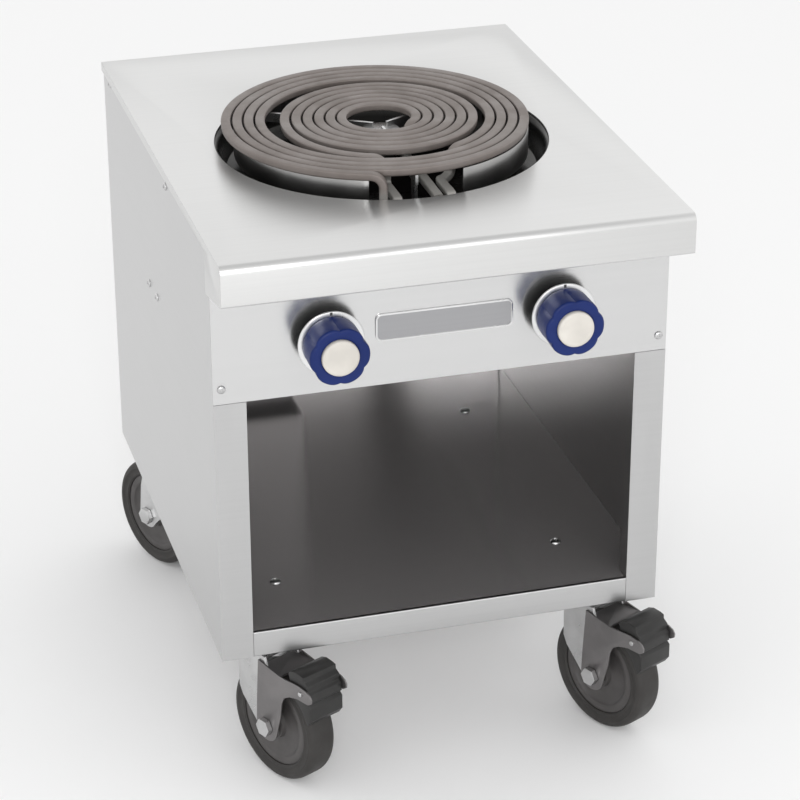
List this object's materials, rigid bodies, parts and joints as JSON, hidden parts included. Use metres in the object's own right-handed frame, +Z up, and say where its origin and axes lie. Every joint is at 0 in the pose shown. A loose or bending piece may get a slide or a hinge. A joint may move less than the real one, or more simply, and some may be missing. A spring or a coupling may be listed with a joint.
{
  "type": "floor-standing electric stock-pot range",
  "caption": "Free-standing stainless electric stock-pot range: raised spiral heating element, turning control knobs, open storage cabinet and braked swivel casters.",
  "frame": {"origin": "on the floor plane, under the centre of the top deck", "axes": "+X to the right of someone facing the controls, +Y towards the back, +Z up; the control panel faces -Y"},
  "size_m": [0.4691, 0.6186, 0.624],
  "materials": {
    "stainless": "brushed stainless sheet",
    "dark_steel": "dark coated steel",
    "heater_sheath": "heat-oxidised heater sheath",
    "ceramic": "glazed white ceramic",
    "black_plastic": "moulded black",
    "zinc_plate": "zinc-plated steel",
    "silver_plate": "satin silver",
    "blue_plastic": "moulded dark blue",
    "cream_plastic": "moulded cream",
    "tyre_rubber": "solid rubber tread",
    "hub_plastic": "moulded grey hub"
  },
  "bodies": {
    "range_body": {"cooktop": "stainless", "left_side_panel": "stainless", "right_side_panel": "stainless", "back_panel": "stainless", "supply_inlet_bushing": "black_plastic", "wiring_duct": "stainless", "cabinet_floor": "stainless", "left_base_channel": "dark_steel", "right_base_channel": "dark_steel", "control_panel": "stainless", "compartment_floor": "stainless", "burner_bowl": "dark_steel", "element_support": "zinc_plate", "terminal_block": "ceramic", "terminal_bracket": "zinc_plate", "inner_element": "heater_sheath", "outer_element": "heater_sheath", "left_switch": "black_plastic", "right_switch": "black_plastic", "left_switch_nut": "zinc_plate", "right_switch_nut": "zinc_plate", "panel_screw_left": "zinc_plate", "panel_screw_right": "zinc_plate", "nameplate": "silver_plate", "caster_front_left_plate": "zinc_plate", "caster_front_right_plate": "zinc_plate", "caster_rear_left_plate": "zinc_plate", "caster_rear_right_plate": "zinc_plate"},
    "left_knob": {"left_knob_shaft": "zinc_plate", "left_dial_skirt": "silver_plate", "left_knob_grip": "blue_plastic", "left_knob_cap": "cream_plastic"},
    "right_knob": {"right_knob_shaft": "zinc_plate", "right_dial_skirt": "silver_plate", "right_knob_grip": "blue_plastic", "right_knob_cap": "cream_plastic"},
    "front_left_swivel": {"caster_front_left_fork": "zinc_plate", "caster_front_left_axle": "zinc_plate", "caster_front_left_pedal_pin": "zinc_plate"},
    "front_left_wheel": {"caster_front_left_tyre": "tyre_rubber", "caster_front_left_hub": "hub_plastic"},
    "front_left_brake": {"caster_front_left_brake_pedal": "black_plastic"},
    "front_right_swivel": {"caster_front_right_fork": "zinc_plate", "caster_front_right_axle": "zinc_plate", "caster_front_right_pedal_pin": "zinc_plate"},
    "front_right_wheel": {"caster_front_right_tyre": "tyre_rubber", "caster_front_right_hub": "hub_plastic"},
    "front_right_brake": {"caster_front_right_brake_pedal": "black_plastic"},
    "rear_left_swivel": {"caster_rear_left_fork": "zinc_plate", "caster_rear_left_axle": "zinc_plate"},
    "rear_left_wheel": {"caster_rear_left_tyre": "tyre_rubber", "caster_rear_left_hub": "hub_plastic"},
    "rear_right_swivel": {"caster_rear_right_fork": "zinc_plate", "caster_rear_right_axle": "zinc_plate"},
    "rear_right_wheel": {"caster_rear_right_tyre": "tyre_rubber", "caster_rear_right_hub": "hub_plastic"}
  },
  "joints": [
    {"name": "left_knob_turn", "type": "hinge", "parent": "range_body", "child": "left_knob", "pos_m": [-0.115, -0.262, 0.494], "axis": [0, -1, 0], "continuous": true},
    {"name": "right_knob_turn", "type": "hinge", "parent": "range_body", "child": "right_knob", "pos_m": [0.115, -0.262, 0.494], "axis": [0, -1, 0], "continuous": true},
    {"name": "front_left_swivel_turn", "type": "hinge", "parent": "range_body", "child": "front_left_swivel", "pos_m": [-0.1735, -0.175, 0.1425], "axis": [0, 0, 1], "continuous": true},
    {"name": "front_left_wheel_spin", "type": "hinge", "parent": "front_left_swivel", "child": "front_left_wheel", "pos_m": [-0.15903, -0.20466, 0.0625], "axis": [0.8988, 0.4384, 0], "continuous": true},
    {"name": "front_left_brake_lift", "type": "hinge", "parent": "front_left_swivel", "child": "front_left_brake", "pos_m": [-0.13492, -0.25409, 0.1255], "axis": [-0.8988, -0.4384, 0], "range_deg": [0, 18]},
    {"name": "front_right_swivel_turn", "type": "hinge", "parent": "range_body", "child": "front_right_swivel", "pos_m": [0.1735, -0.175, 0.1425], "axis": [0, 0, 1], "continuous": true},
    {"name": "front_right_wheel_spin", "type": "hinge", "parent": "front_right_swivel", "child": "front_right_wheel", "pos_m": [0.18797, -0.20466, 0.0625], "axis": [0.8988, 0.4384, 0], "continuous": true},
    {"name": "front_right_brake_lift", "type": "hinge", "parent": "front_right_swivel", "child": "front_right_brake", "pos_m": [0.21208, -0.25409, 0.1255], "axis": [-0.8988, -0.4384, 0], "range_deg": [0, 18]},
    {"name": "rear_left_swivel_turn", "type": "hinge", "parent": "range_body", "child": "rear_left_swivel", "pos_m": [-0.1735, 0.237, 0.1425], "axis": [0, 0, 1], "continuous": true},
    {"name": "rear_left_wheel_spin", "type": "hinge", "parent": "rear_left_swivel", "child": "rear_left_wheel", "pos_m": [-0.18797, 0.26666, 0.0625], "axis": [-0.8988, -0.4384, 0], "continuous": true},
    {"name": "rear_right_swivel_turn", "type": "hinge", "parent": "range_body", "child": "rear_right_swivel", "pos_m": [0.1735, 0.237, 0.1425], "axis": [0, 0, 1], "continuous": true},
    {"name": "rear_right_wheel_spin", "type": "hinge", "parent": "rear_right_swivel", "child": "rear_right_wheel", "pos_m": [0.15903, 0.26666, 0.0625], "axis": [-0.8988, -0.4384, 0], "continuous": true}
  ]
}
